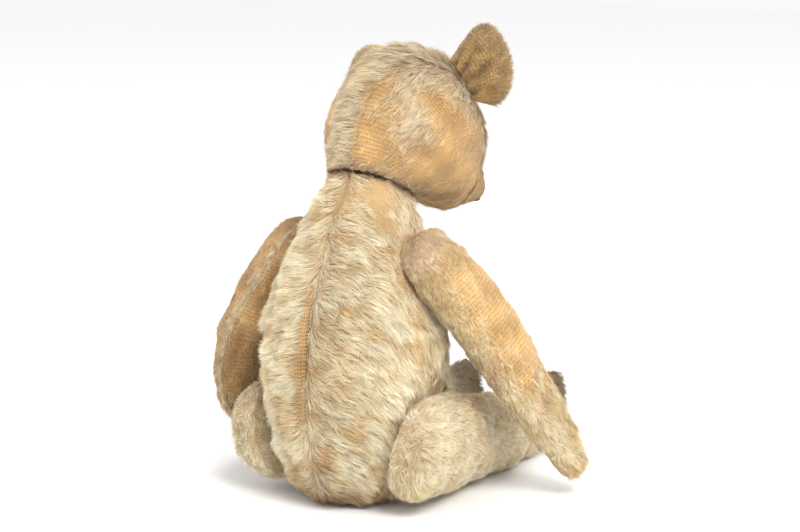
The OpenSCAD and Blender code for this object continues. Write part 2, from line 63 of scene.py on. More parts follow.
def unit(v):
    return v / np.maximum(np.linalg.norm(v, axis=-1, keepdims=True), 1e-9)


def tone(r, g, b):
    c = np.array([r, g, b]) / 255
    return np.where(c <= 0.04045, c / 12.92, ((c + 0.055) / 1.055) ** 2.4)


def mixTone(a, b, share):
    return a + (b - a) * np.clip(share, 0, 1)[..., None]


def plain(*colour):
    # one tint all over a laid strip
    return lambda f, w: np.zeros(f.shape + (3,)) + tone(*colour)


def ramp(x, low, high):
    # smooth step: 0 below low, 1 above high
    t = np.clip((x - low) / (high - low), 0, 1)
    return t * t * (3 - 2 * t)


def waves(p, size, seed, count=14):
    # smooth random field: plane waves of about one size added up, mostly between -1 and 1
    g = np.random.default_rng(seed)
    k = unit(g.normal(size=(count, 3))) * (2 * np.pi / size) * g.uniform(0.7, 1.4, (count, 1))
    return np.sin(p @ k.T + g.uniform(0, 2 * np.pi, count)).sum(-1) * 0.7 * math.sqrt(2 / count)


def spot(skin, row, angle, rowSize, angleSize):
    # soft round patch in a skin's own rows and angles
    d = (skin["angle"] - angle + 180) % 360 - 180
    return np.exp(-((skin["row"] - row) / rowSize) ** 2 - (d / angleSize) ** 2)


def alongRows(rows, s):
    # Catmull-Rom curve through the rows of a table at row number s
    rows = np.asarray(rows, float)
    n = len(rows) - 1
    i = np.clip(np.floor(s).astype(int), 0, n - 1)
    t = (s - i)[..., None]
    a, b, c, d = (rows[np.clip(i + k, 0, n)] for k in (-1, 0, 1, 2))
    return 0.5 * (2 * b + (c - a) * t + (2 * a - 5 * b + 4 * c - d) * t * t + (3 * b - a - 3 * c + d) * t ** 3)


# joint frames: origin, along, front, outwards

def cosd(x):
    return np.cos(np.radians(x))


def sind(x):
    return np.sin(np.radians(x))


joints = dict(shoulder=(41.5, -12, 155), shoulderTilt=20, swing={1: -8, -1: 25}, bend={1: 48, -1: 3},
              hip=(45, -6, 40), hipIn=10, hipTilt=12, legPitch=4,
              neck=(0, -21, 199), neckLean=27, headTurn=13, gap=0.35)


def armFrame(side, swing=None):
    # down the arm, swung forwards about the tilted outwards axis
    t, w = joints["shoulderTilt"], joints["swing"][side] if swing is None else swing
    x, y, z = joints["shoulder"]
    down, ahead = np.array([side * sind(t), 0, -cosd(t)]), np.array([0, -1.0, 0])
    return (np.array([side * x, y, z]), cosd(w) * down + sind(w) * ahead, cosd(w) * ahead - sind(w) * down,
            np.array([side * cosd(t), 0, sind(t)]))


def legFrame(side):
    # forwards along the leg, pitched about the turned and tilted outwards axis
    i, t, p = joints["hipIn"], joints["hipTilt"], joints["legPitch"]
    x, y, z = joints["hip"]
    ahead = np.array([-side * sind(i), -cosd(i), 0])
    up = np.array([side * cosd(i) * sind(t), -sind(i) * sind(t), cosd(t)])
    return (np.array([side * x, y, z]), cosd(p) * ahead - sind(p) * up, sind(p) * ahead + cosd(p) * up,
            np.array([side * cosd(i) * cosd(t), -sind(i) * cosd(t), -sind(t)]))


def headFrame():
    # left, ahead and up the leaning neck, turned about it
    l, t = joints["neckLean"], joints["headTurn"]
    up, ahead, left = np.array([0, -sind(l), cosd(l)]), np.array([0, -cosd(l), -sind(l)]), np.array([1.0, 0, 0])
    return np.array(joints["neck"],
        float), cosd(t) * left + sind(t) * ahead, cosd(t) * ahead - sind(t) * left, up


def place(local, f):
    # a point given along, in front of and outwards from a joint
    return f[0] + local[..., :1] * f[1] + local[..., 1:2] * f[2] + local[..., 2:] * f[3]


def keepBelow(p, f, gap):
    return p - np.maximum(0, (p - f[0]) @ f[3] + gap)[..., None] * f[3]


def keepAbove(p, f, gap):
    return p + np.maximum(0, gap - (p - f[0]) @ f[3])[..., None] * f[3]


# outlines: ring tables, each a function of row number and angle in degrees

bear = dict(bodyWidth=119, bodyDepth=115, bodyHeight=199, bodyLean=21, headWidth=97, headTable=98,
            armLength=176, armWidth=46, elbow=(0.34, 0.68), legLength=183, footLength=49, footTable=56)

torsoRows = [
    [0.05, 0, 0, 0, 0], [0.05, 0, 0, 0.38, 0.42], [0.07, 0.03, 0, 0.56, 0.61], [0.12, 0.09, 0, 0.71, 0.77],
    [0.17, 0.20, 0.04, 0.87, 0.92], [0.19, 0.33, 0.08, 0.965, 0.995], [0.21, 0.455, 0.15, 1.005, 1.0],
    [0.28, 0.57, 0.26, 0.97, 0.96], [0.40, 0.68, 0.41, 0.89, 0.87], [0.57, 0.78, 0.59, 0.78, 0.765],
    [0.76, 0.865, 0.76, 0.67, 0.66], [0.88, 0.92, 0.88, 0.57, 0.575], [0.97, 0.965, 0.96, 0.505, 0.515],
    [1, 1, 1, 0.46, 0.47], [1, 1, 1, 0.04, 0.04]]
headRows = [
    [-2.4, 0, 2.4, 0, 2.4], [-26.5, 0, 26.5, 0, 26.5], [-30.5, 4, 31, 1.5, 31.5], [-34, 20, 35, 3, 39],
    [-35.5, 39, 42, 4, 45.5], [-32, 59, 48, 4.5, 49], [-23, 77.5, 53, 5, 50.5], [-8.5, 91, 58, 5.5, 50],
    [10, 97, 63, 6.5, 47], [28.5, 93.5, 68, 8, 41.5], [41.5, 82, 72, 9.5, 31], [50, 67.5, 76, 12, 22],
    [60, 57, 80, 14.5, 18], [70, 51.5, 84, 17, 17], [79.5, 47, 88, 20, 15.5], [87, 41.5, 91, 23.5, 11.5],
    [92, 32, 92, 32, 0]]
gussetHalf = [[25], [25], [21], [16], [15], [17], [26], [38], [47], [47], [44], [42], [42], [43], [46], [52],
    [60]]
armRows = [
    [-0.105, 0, 10, 10], [-0.096, 0.38, 2, 18], [-0.075, 0.68, -5, 22], [-0.043, 0.86, -8, 25.5],
    [0, 0.95, -8, 29], [0.10, 1.04, -7, 33.5], [0.23, 1.10, -1, 36.5], [0.36, 1.12, 3.5, 38],
    [0.49, 1.08, 5.5, 37.5], [0.61, 1.0, 7, 35], [0.72, 0.88, 8, 33.5], [0.82, 0.77, 9, 31.5],
    [0.90, 0.66, 9.5, 30], [0.955, 0.58, 10.5, 28.5], [0.988, 0.38, 13, 25.5], [1, 0, 19, 19]]
legRows = [
    [-0.24, 0, 0, 12, 12], [-0.229, -13, 13, 1, 21], [-0.195, -24.5, 24.5, -8, 26],
    [-0.12, -31.5, 31.5, -12, 29],
    [0, -33.5, 33.5, -12, 30.5], [0.12, -33.5, 33.5, -10, 31.5], [0.26, -31.5, 30.5, -5, 32.5],
    [0.41, -30, 27.5, 0, 34], [0.56, -28.5, 24.5, 3, 36], [0.69, -27.5, 22.5, 5, 36.5],
    [0.79, -27, 21.5, 6.5, 36.5],
    [0.855, -27, 25, 7, 36], [0.91, -26.5, 30, 7, 35.5], [0.955, -25.5, 33, 7.5, 34.5],
    [0.985, -24, 33.5, 8.5, 33.5],
    [1, -22, 32, 10, 32], [1, 8, 8, 20.5, 20.5]]


def torsoShape(s, a):
    # leaning rings: across = half width * sin, back = half depth * cos, tilted with the spine
    k = alongRows(torsoRows, s)
    tilt, back = joints["neckLean"] * k[..., 2], bear["bodyDepth"] / 2 * k[..., 4] * cosd(a)
    return np.stack([bear["bodyWidth"] / 2 * k[..., 3] * sind(a),
                     -bear["bodyLean"] * k[..., 0] + back * cosd(tilt),
                     bear["bodyHeight"] * k[..., 1] + back * sind(tilt)], -1)


def headPoint(s, a):
    # each ring runs from an outer point to an inner point in the head's side view
    k = alongRows(headRows, s)
    c = cosd(a)
    return np.stack([bear["headWidth"] / bear["headTable"] * k[..., 4] * sind(a),
                      (k[..., 0] + k[..., 2]) / 2 + (k[..., 0] - k[..., 2]) / 2 * c,
                      (k[..., 1] + k[..., 3]) / 2 + (k[..., 1] - k[..., 3]) / 2 * c], -1)


def headShape(s, a):
    return place(headPoint(s, a), headFrame())


def armShape(s, a, side):
    # ovals along the arm, whose middle part follows an arc of the elbow's bend
    k = alongRows(armRows, s)
    u, v, bend = bear["armLength"] * k[..., 0], bear["armWidth"] / 2 * k[..., 1] * sind(a), joints["bend"][side]
    e0, e1 = (share * bear["armLength"] for share in bear["elbow"])
    r = (e1 - e0) / math.radians(bend)
    b = np.clip(np.degrees((u - e0) / r), 0, bend)
    past = np.maximum(0, u - e1)
    local = np.stack([np.minimum(u, e0) + r * sind(b) + past * cosd(b) - v * sind(b),
                      r * (1 - cosd(b)) + past * sind(b) + v * cosd(b),
                      (k[..., 2] + k[..., 3]) / 2 + (k[..., 3] - k[..., 2]) / 2 * cosd(a)], -1)
    return place(local, armFrame(side))


def legShape(s, a, side):
    # ovals along the leg; the last rows turn up into the foot
    k = alongRows(legRows, s)
    f = 1 - (bear["footTable"] - bear["footLength"]) / bear["footTable"] * np.clip((s - 9) / 3, 0, 1)
    local = np.stack([bear["legLength"] * np.minimum(1, k[..., 0]),
                      f * ((k[..., 1] + k[..., 2]) / 2 + (k[..., 2] - k[..., 1]) / 2 * sind(a)),
                      (k[..., 3] + k[..., 4]) / 2 + (k[..., 4] - k[..., 3]) / 2 * cosd(a)], -1)
    return place(local, legFrame(side))


def torsoPress(p):
    # flat against every joint face and the seat
    for f in (armFrame(1, 0), armFrame(-1, 0), legFrame(1), legFrame(-1), headFrame()):
        p = keepBelow(p, f, 0.15)
    p[..., 2] = np.maximum(p[..., 2], 0.15)
    return p


def limbPress(f, length):
    # flat against its own joint face, and cut off at its length
    end = (f[0] + length * f[1], None, None, f[1])
    return lambda p: keepAbove(keepBelow(p, end, 0.0), f, joints["gap"] + 0.1)


# meshes

def meshFrom(name, points, quads, tris=None, uv=None, tint=None, smooth=True):
    # arrays straight into a mesh: points in millimetres, quads and tris as vertex numbers
    mesh = bpy.data.meshes.new(name)
    tris = np.zeros((0, 3), int) if tris is None else tris
    loops = np.concatenate([quads.ravel(), tris.ravel()]).astype(np.int32)
    totals = np.concatenate([np.full(len(quads), 4), np.full(len(tris), 3)]).astype(np.int32)
    mesh.vertices.add(len(points))
    mesh.vertices.foreach_set("co", (points * 0.001).astype(np.float32).ravel())
    mesh.loops.add(len(loops))
    mesh.loops.foreach_set("vertex_index", loops)
    mesh.polygons.add(len(totals))
    mesh.polygons.foreach_set("loop_start", (np.cumsum(totals) - totals).astype(np.int32))
    mesh.polygons.foreach_set("loop_total", totals)
    mesh.update(calc_edges=True)
    mesh.polygons.foreach_set("use_smooth", np.full(len(totals), smooth))
    if uv is not None:
        layer = mesh.uv_layers.new(name="weaveMap")
        layer.data.foreach_set("uv", uv.astype(np.float32).ravel())
    if tint is not None:
        layer = mesh.color_attributes.new(name="tint", type="FLOAT_COLOR", domain="POINT")
        layer.data.foreach_set("color",
            np.concatenate([tint, np.ones((len(tint), 1))], 1).astype(np.float32).ravel())
    obj = bpy.data.objects.new(name, mesh)
    scene.collection.objects.link(obj)
    return obj


def gridFaces(rows, cols, wrap):
    i, j = np.meshgrid(np.arange(rows - 1), np.arange(cols if wrap else cols - 1), indexing="ij")
    k = (j + 1) % cols
    return np.stack([i * cols + j, i * cols + k, (i + 1) * cols + k, (i + 1) * cols + j], -1).reshape(-1,
        4), i, j


def facing(points, quads, outward):
    # turns the quads round if they look away from the outward direction
    a, b, d = points[quads[:, 0]], points[quads[:, 1]], points[quads[:, 3]]
    away = (np.cross(b - a, d - a) * outward[quads[:, 0]]).sum() < 0
    return quads[:, ::-1] if away else quads, away


def gridObject(name, p, n, tint=None, wrap=True, step=(1.0, 1.0)):
    # a grid of points as a surface; a wrapped grid's two ends close on a middle point
    rows, cols = p.shape[:2]
    quads, i, j = gridFaces(rows, cols, wrap)
    points, normals = p.reshape(-1, 3), n.reshape(-1, 3)
    uv = np.stack([np.stack([j, j + 1, j + 1, j], -1) * step[1], np.stack([i, i, i + 1, i + 1], -1) * step[0]],
        -1).reshape(-1, 4, 2)
    quads, turned = facing(points, quads, normals)
    if turned:
        uv = uv[:, ::-1]
    tris = None
    colours = None if tint is None else tint.reshape(-1, 3)
    if wrap:
        c = np.arange(cols)
        k = (c + 1) % cols
        last = (rows - 1) * cols
        first = np.stack([k, c, np.full(cols, len(points))], -1)
        final = np.stack([last + c, last + k, np.full(cols, len(points) + 1)], -1)
        tris = np.concatenate([first, final])
        if turned:
            tris = tris[:, ::-1]
        points = np.concatenate([points, p[:1].mean(1), p[-1:].mean(1)])
        if colours is not None:
            colours = np.concatenate([colours, tint[:1].mean(1), tint[-1:].mean(1)])
        uv = np.concatenate([uv.reshape(-1, 2), np.zeros((len(tris) * 3, 2))])
    return meshFrom(name, points, quads, tris, uv.reshape(-1, 2), colours)


def gridNormals(p):
    # cross product of the two grid directions, looking away from the middle
    n = unit(np.cross(np.roll(p, -1, 1) - np.roll(p, 1, 1), np.gradient(p, axis=0)))
    return -n if ((p - p.mean(1, keepdims=True)) * n).sum() < 0 else n


def refine(p, times):
    # the same closed grid with more rows and columns, on smooth curves through the old points
    rows, cols = p.shape[:2]
    p = alongRows(p.reshape(rows, -1), np.linspace(0, rows - 1, (rows - 1) * times + 1)).reshape(-1, cols,
        p.shape[2])
    wide = np.concatenate([p[:, -2:], p, p[:, :3]], 1).transpose(1, 0, 2)
    q = alongRows(wide.reshape(len(wide), -1), 2 + np.arange(cols * times) / times)
    return q.reshape(cols * times, p.shape[0], -1).transpose(1, 0, 2)


# stuffed skins: cloth held at its seams and joint faces, blown out by the packing

def swell(name, p, n, held, cap):
    # cloth simulation on the closed grid; no point moves further than cap
    obj = gridObject(name + "Sim", p, n)
    group = obj.vertex_groups.new(name="held")
    flat = held.ravel()
    for w in np.unique(np.round(flat, 1)):
        group.add(np.flatnonzero(np.round(flat, 1) == w).tolist(), float(w), "REPLACE")
    group.add([flat.size, flat.size + 1], 1.0, "REPLACE")
    cloth = obj.modifiers.new("cloth", "CLOTH")
    cloth.settings.vertex_group_mass = "held"
    for key, value in dict(use_pressure=True, uniform_pressure_force=4, mass=0.3, tension_stiffness=12,
                           compression_stiffness=12, bending_stiffness=0.4).items():
        setattr(cloth.settings, key, value)
    cloth.settings.effector_weights.gravity = 0
    cloth.point_cache.frame_end = 24
    for f in range(1, 21):
        scene.frame_set(f)
    shaped = obj.evaluated_get(bpy.context.evaluated_depsgraph_get())
    co = np.zeros(len(shaped.data.vertices) * 3, np.float32)
    shaped.data.vertices.foreach_get("co", co)
    moved = co.reshape(-1, 3)[:flat.size].reshape(p.shape) * 1000.0 - p
    scene.frame_set(1)
    bpy.data.objects.remove(obj)
    size = np.linalg.norm(moved, axis=-1, keepdims=True)
    return p + moved * np.minimum(1, cap / np.maximum(size, 1e-6))


def stuffed(name, shape, press, rowSpan, grid, seams, settings):
    # outline -> slightly smaller start -> swollen cloth -> fine grid with lumps, seam grooves and puckers
    rows, cols = grid
    s = np.linspace(rowSpan[0], rowSpan[1], rows)[:, None] + np.zeros((1, cols))
    a = np.arange(cols)[None] * 360 / cols + np.zeros((rows, 1))
    raw = shape(s, a)
    n = gridNormals(raw)
    start = press(raw - settings["inset"] * n)
    radius = np.linalg.norm(start - start.mean(1, keepdims=True), axis=-1).mean(1, keepdims=True)
    held = np.zeros(s.shape)
    for seam in seams:
        d = np.abs((a - seam(s) + 180) % 360 - 180) * np.pi / 180 * radius
        held = np.maximum(held, np.exp(-(d / 3) ** 2))
    pressed = np.linalg.norm(start - (raw - settings["inset"] * n), axis=-1) > 0.15
    held = np.maximum(held, pressed * 1.0)
    held[:1], held[-1:] = 1, 1
    fine = refine(swell(name, start, n, held, settings["cap"]), settings["finer"])
    extra = refine(np.stack([s, cosd(a), sind(a), pressed * 1.0], -1), settings["finer"])
    row, angle = extra[..., 0], np.degrees(np.arctan2(extra[..., 2], extra[..., 1]))
    radius = np.linalg.norm(fine - fine.mean(1, keepdims=True), axis=-1).mean(1, keepdims=True)
    fine = press(fine)
    n = gridNormals(fine)
    lumps = waves(fine, settings["lumpSize"], 11) + 0.45 * waves(fine, settings["lumpSize"] * 0.45, 12)
    out = lumps * settings["lump"]
    seamMark = np.zeros(row.shape)
    for k, seam in enumerate(seams):
        d = np.abs((angle - seam(row) + 180) % 360 - 180) * np.pi / 180 * radius
        pucker = 1 + 0.55 * np.sin(2 * np.pi * np.cumsum(np.linalg.norm(np.gradient(fine, axis=0), axis=-1),
            0) / 6.5 + k)
        out -= settings["seam"] * np.exp(-(d / 1.5) ** 2) * pucker + 0.5 * settings["seam"] * np.exp(-(d / 6) ** 2)
        seamMark = np.maximum(seamMark, np.exp(-(d / 1.3) ** 2))
    free = 1 - np.clip(extra[..., 3:], 0, 1)
    fine = press(fine + n * out[..., None] * free)
    skin = dict(name=name, p=fine, n=gridNormals(fine), row=row, angle=angle, seam=seamMark,
                free=free[..., 0], radius=radius + 0 * row)
    skin["step"] = (float(np.linalg.norm(np.diff(fine, axis=0), axis=-1).mean()),
                    float(np.linalg.norm(np.roll(fine, -1, 1) - fine, axis=-1)[len(fine) // 2].mean()))
    return skin


def skinObject(skin, tint, material, body, replaced):
    worn = 1 - 0.2 * skin["seam"][..., None]
    obj = gridObject(skin["name"], skin["p"], skin["n"], tint * worn, step=skin["step"])
    obj.data.materials.append(material)
    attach(obj, body)
    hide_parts(*replaced)
    print("skin", skin["name"], len(obj.data.polygons))
    return obj


# pile: flat tapering strands that lie along the comb, drawn into locks

def pile(name, skin, body, material, perMm, density, comb, tint, length, lift, width, seed, lock=0.62,
    curl=0.12, sway=0.3, limit=64000):
    # strands start at random places on the grid, more where density is high; each is a root pair, a middle pair and a tip
    g = np.random.default_rng(seed)
    p, n = skin["p"], skin["n"]
    q = np.roll(p, -1, 1)
    area = np.linalg.norm(np.cross(q[:-1] - p[:-1], p[1:] - p[:-1]), axis=-1)
    weight = (area * np.clip(density[:-1], 0, 1)).ravel()
    count = int(min(limit, weight.sum() * perMm))
    if count < 10:
        return None
    fields = np.concatenate([p, n, comb, tint, length[..., None], lift[..., None]], -1)
    pick = np.searchsorted(np.cumsum(weight) / weight.sum(), g.random(count))
    i, j = np.divmod(np.minimum(pick, weight.size - 1), p.shape[1])
    k = (j + 1) % p.shape[1]
    u, v = g.random((2, count, 1))
    f = (fields[i, j] * (1 - u) + fields[i + 1, j] * u) * (1 - v) + (fields[i, k] * (1 - u) + fields[i + 1,
        k] * u) * v
    root, normal, way, colour, long, rise = f[:, :3], unit(f[:, 3:6]), f[:, 6:9], f[:, 9:12], f[:, 12:13], f[:,
        13:14]
    sway = np.stack([waves(root, 13, seed + 1), waves(root, 13, seed + 2), waves(root, 13, seed + 3)],
        -1) * sway
    fine = np.stack([waves(root, 3.5, seed + 4), waves(root, 3.5, seed + 5), waves(root, 3.5, seed + 6)],
        -1) * curl
    way = unit(way) + sway + fine + g.normal(size=(count, 3)) * curl
    way = unit(way - (way * normal).sum(-1, keepdims=True) * normal)
    long = long * g.uniform(0.55, 1.15, (count, 1))
    rise = rise * g.uniform(0.5, 1.4, (count, 1))
    middle = root + long * (0.5 * way + 0.55 * rise * normal)
    tip = root + long * (way * np.sqrt(np.maximum(0.15, 1 - rise ** 2)) + 0.8 * rise * normal)
    tip += g.normal(size=(count, 3)) * long * curl * 0.5
    cell = np.floor((root + 1.6 * fine / max(curl, 0.01)) / 4.4).astype(np.int64)
    _, lockId = np.unique(cell @ np.array([1, 4001, 16008001]), return_inverse=True)
    share = 1 / np.bincount(lockId)
    centre = np.stack([np.bincount(lockId, tip[:, c]) * share for c in range(3)], -1)[lockId]
    tip += lock * (centre - tip)
    middle += 0.3 * lock * (centre - tip)
    bright = g.normal(1, 0.10, (share.size, 1))[lockId] * g.normal(1, 0.16, (count, 1))
    side = unit(np.cross(way, normal) + 0.35 * g.normal(size=(count, 1)) * normal) * width * g.uniform(0.7, 1.3,
        (count, 1))
    root = root - 0.25 * normal
    points = np.stack([root - side, root + side, middle - 0.85 * side, middle + 0.85 * side, tip],
        1).reshape(-1, 3)
    points = skin["guard"](points) if "guard" in skin else points
    # strand colour darkened at the root as painted shade deep in the pile and lightened at the tip as a painted
    # highlight, times a random tone per lock and per strand
    shade = colour[:, None] * bright[:, None] * np.array([0.55, 0.55, 1.0, 1.0, 1.2])[None, :, None]
    o = np.arange(count)[:, None] * 5
    quads = o + np.array([[0, 1, 3, 2]])
    tris = o + np.array([[2, 3, 4]])
    obj = meshFrom(name, points, quads, tris, None, np.clip(shade, 0, 1).reshape(-1, 3), smooth=False)
    obj.data.materials.append(material)
    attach(obj, body)
    print("pile", name, count, "strands")
    return obj


# shared shader groups

def newGroup(name, inputs, outputs):
    group = bpy.data.node_groups.new(name, "ShaderNodeTree")
    for label, kind, value in inputs:
        item = group.interface.new_socket(name=label, in_out="INPUT", socket_type=kind)
        if value is not None:
            item.default_value = value
    for label, kind in outputs:
        group.interface.new_socket(name=label, in_out="OUTPUT", socket_type=kind)
    return group, group.nodes.new("NodeGroupInput"), group.nodes.new("NodeGroupOutput")


def joined(tree, node, **sockets):
    # links or sets the named or numbered inputs of a node
    for key, value in sockets.items():
        target = node.inputs[int(key[1:])] if key[0] == "i" and key[1:].isdigit() else node.inputs[key]
        if isinstance(value, bpy.types.NodeSocket):
            tree.links.new(value, target)
        else:
            target.default_value = value
    return node


def sums(tree, operation, a, b=0.0, c=0.0, clamp=False):
    node = tree.nodes.new("ShaderNodeMath")
    node.operation, node.use_clamp = operation, clamp
    joined(tree, node, i0=a, i1=b, i2=c)
    return node.outputs[0]


def blended(tree, share, a, b, way="MIX"):
    node = tree.nodes.new("ShaderNodeMix")
    node.data_type, node.blend_type = "RGBA", way
    joined(tree, node, i0=share, i6=a, i7=b)
    return node.outputs[2]


def noise(tree, vector, scale, detail=3.0, rough=0.55):
    node = tree.nodes.new("ShaderNodeTexNoise")
    joined(tree, node, Vector=vector, Scale=scale, Detail=detail, Roughness=rough)
    return node.outputs[0]


def makeWovenBacking():
    # plain weave: warp and weft ridges that pass over each other in a chequer, fading where it is felted
    group, gin, gout = newGroup("wovenBacking",
                                [("Map", "NodeSocketVector", None), ("Place", "NodeSocketVector", None),
                                 ("Pitch", "NodeSocketFloat", 1.7), ("Felted", "NodeSocketFloat", 0.4)],
                                [("Height", "NodeSocketFloat"), ("Shade", "NodeSocketFloat")])
    split = joined(group, group.nodes.new("ShaderNodeSeparateXYZ"), Vector=gin.outputs["Map"])
    rate = sums(group, "DIVIDE", math.pi, gin.outputs["Pitch"])
    wobble = sums(group, "MULTIPLY", noise(group, gin.outputs["Place"], 90.0, 2.0), 2.4)
    su = sums(group, "SINE", sums(group, "MULTIPLY_ADD", split.outputs[0], rate, wobble))
    sv = sums(group, "SINE", sums(group, "MULTIPLY_ADD", split.outputs[1], rate, wobble))
    over = sums(group, "MULTIPLY_ADD", sums(group, "MULTIPLY", su, sv), 2.0, 0.5, clamp=True)
    warp, weft = sums(group, "POWER", sums(group, "ABSOLUTE", su), 0.6), sums(group, "POWER",
        sums(group, "ABSOLUTE", sv), 0.6)
    cloth = sums(group, "ADD", sums(group, "MULTIPLY", warp, sums(group, "SUBTRACT", 1.0, over)),
        sums(group, "MULTIPLY", weft, over))
    fuzz = noise(group, gin.outputs["Place"], 900.0, 4.0, 0.7)
    patch = sums(group, "MULTIPLY",
        sums(group, "MULTIPLY_ADD", noise(group, gin.outputs["Place"], 55.0), 3.0, -1.0, clamp=True),
        gin.outputs["Felted"])
    height = sums(group, "ADD", sums(group, "MULTIPLY", cloth, sums(group, "SUBTRACT", 1.0, patch)),
        sums(group, "MULTIPLY", fuzz, sums(group, "ADD", patch, 0.35)))
    group.links.new(height, gout.inputs["Height"])
    # the Shade output is painted shade: lighter on the thread tops, darker in the hollows between threads
    group.links.new(sums(group, "MULTIPLY_ADD", height, 1.05, 0.22), gout.inputs["Shade"])
    return group


def makeAgedTint():
    # old cloth: soft soiling at two sizes pulls the tint towards a dirt colour, and dust lifts the roughness
    group, gin, gout = newGroup("agedTint",
                                [("Tint", "NodeSocketColor", None), ("Dirt", "NodeSocketColor", None),
                                 ("Place", "NodeSocketVector", None), ("Amount", "NodeSocketFloat", 0.3)],
                                [("Tint", "NodeSocketColor"), ("Roughness", "NodeSocketFloat")])
    broad = sums(group, "MULTIPLY_ADD", noise(group, gin.outputs["Place"], 28.0, 4.0), 2.6, -0.85, clamp=True)
    small = sums(group, "MULTIPLY_ADD", noise(group, gin.outputs["Place"], 160.0, 3.0), 2.2, -0.75, clamp=True)
    soiled = sums(group, "MULTIPLY",
        sums(group, "MULTIPLY_ADD", small, 0.5, sums(group, "MULTIPLY", broad, 0.5)), gin.outputs["Amount"])
    group.links.new(blended(group, soiled, gin.outputs["Tint"], gin.outputs["Dirt"]), gout.inputs["Tint"])
    group.links.new(sums(group, "MULTIPLY_ADD", small, 0.15, 0.78), gout.inputs["Roughness"])
    return group


def makeTwist():
    # laid thread: slanting ridges across the strand
    group, gin, gout = newGroup("twistedThread",
                                [("Place", "NodeSocketVector", None), ("Rate", "NodeSocketFloat", 2600.0)],
                                [("Height", "NodeSocketFloat")])
    split = joined(group, group.nodes.new("ShaderNodeSeparateXYZ"), Vector=gin.outputs["Place"])
    lean = sums(group, "ADD", sums(group, "MULTIPLY_ADD", split.outputs[0], 0.6, split.outputs[2]),
        sums(group, "MULTIPLY", split.outputs[1], 0.5))
    group.links.new(sums(group, "ABSOLUTE",
        sums(group, "SINE", sums(group, "MULTIPLY", lean, gin.outputs["Rate"]))), gout.inputs["Height"])
    return group


groups = dict(weave=makeWovenBacking(), aged=makeAgedTint(), twist=makeTwist())


def startMaterial(name, **constants):
    material = bpy.data.materials.new(name)
    material.use_nodes = True
    tree = material.node_tree
    shader = tree.nodes["Principled BSDF"]
    for key, value in constants.items():
        shader.inputs[key.replace("_", " ")].default_value = value
    place = tree.nodes.new("ShaderNodeTexCoord").outputs["Object"]
    return material, tree, shader, place


def surface(tree, shader, colour, rough):
    tree.links.new(colour, shader.inputs["Base Color"])
    tree.links.new(rough, shader.inputs["Roughness"])


def useGroup(tree, key, **sockets):
    node = tree.nodes.new("ShaderNodeGroup")
    node.node_tree = groups[key]
    return joined(tree, node, **sockets)


def tinted(tree, name="tint"):
    node = tree.nodes.new("ShaderNodeAttribute")
    node.attribute_name = name
    return node.outputs["Color"]


def bumped(tree, shader, height, strength, distance):
    bump = tree.nodes.new("ShaderNodeBump")
    joined(tree, bump, Height=height, Strength=strength, Distance=distance)
    tree.links.new(bump.outputs[0], shader.inputs["Normal"])


def clothMaterial(name, dirt, pitch, felted, amount, strength):
    material, tree, shader, place = startMaterial(name, Sheen_Weight=0.25, Sheen_Roughness=0.5,
        Specular_IOR_Level=0.2)
    uv = joined(tree, tree.nodes.new("ShaderNodeUVMap"))
    uv.uv_map = "weaveMap"
    weave = useGroup(tree, "weave", Map=uv.outputs[0], Place=place, Pitch=pitch, Felted=felted)
    aged = useGroup(tree, "aged", Tint=tinted(tree), Dirt=(*dirt, 1), Place=place, Amount=amount)
    # tint multiplied by the weave's painted shade, darker in the hollows between threads
    surface(tree, shader, blended(tree, 1.0, aged.outputs["Tint"], weave.outputs["Shade"], "MULTIPLY"),
        aged.outputs["Roughness"])
    bumped(tree, shader, weave.outputs["Height"], strength, 0.0009)
    return material


def pileMaterial(name, dirt, amount):
    material, tree, shader, place = startMaterial(name, Sheen_Weight=0.35, Sheen_Roughness=0.45,
        Specular_IOR_Level=0.25)
    aged = useGroup(tree, "aged", Tint=tinted(tree), Dirt=(*dirt, 1), Place=place, Amount=amount)
    surface(tree, shader, aged.outputs["Tint"], aged.outputs["Roughness"])
    return material


def feltMaterial(name, light, dark):
    material, tree, shader, place = startMaterial(name, Sheen_Weight=0.4, Sheen_Roughness=0.6,
        Specular_IOR_Level=0.15)
    fibres = noise(tree, place, 1100.0, 6.0, 0.75)
    worn = sums(tree, "MULTIPLY_ADD", noise(tree, place, 70.0, 4.0), 2.4, -0.7, clamp=True)
    mottled = blended(tree, worn, (*light, 1), (*dark, 1))
    surface(tree, shader, blended(tree, sums(tree, "MULTIPLY", fibres, 0.5), mottled, (*(light * 1.25), 1)),
        sums(tree, "MULTIPLY_ADD", fibres, 0.2, 0.78))
    bumped(tree, shader, fibres, 0.7, 0.0006)
    return material


def threadMaterial(name, colour, rate, rough):
    material, tree, shader, place = startMaterial(name, Specular_IOR_Level=0.35, Sheen_Weight=0.2)
    twist = useGroup(tree, "twist", Place=place, Rate=rate)
    aged = useGroup(tree, "aged", Tint=(*colour, 1), Dirt=(*(colour * 0.45 + 0.02), 1), Place=place, Amount=0.7)
    surface(tree, shader, aged.outputs["Tint"], sums(tree, "MULTIPLY_ADD", twist.outputs[0], 0.2, rough))
    bumped(tree, shader, twist.outputs[0], 0.6, 0.0003)
    return material


def steelMaterial(name, colour):
    material, tree, shader, place = startMaterial(name, Metallic=1.0)
    spots = sums(tree, "MULTIPLY_ADD", noise(tree, place, 420.0, 5.0), 2.8, -1.2, clamp=True)
    surface(tree, shader, blended(tree, spots, (*colour, 1), (0.16, 0.08, 0.04, 1)),
        sums(tree, "MULTIPLY_ADD", spots, 0.35, 0.35))
    bumped(tree, shader, spots, 0.3, 0.0002)
    return material


def buttonMaterial():
    material, tree, shader, place = startMaterial("bootButton", Specular_IOR_Level=0.6, Coat_Weight=0.6,
        Coat_Roughness=0.08)
    scratch = noise(tree, place, 900.0, 5.0, 0.7)
    surface(tree, shader, blended(tree, scratch, (0.006, 0.005, 0.005, 1), (0.03, 0.024, 0.02, 1)),
        sums(tree, "MULTIPLY_ADD", scratch, 0.25, 0.1))
    return material


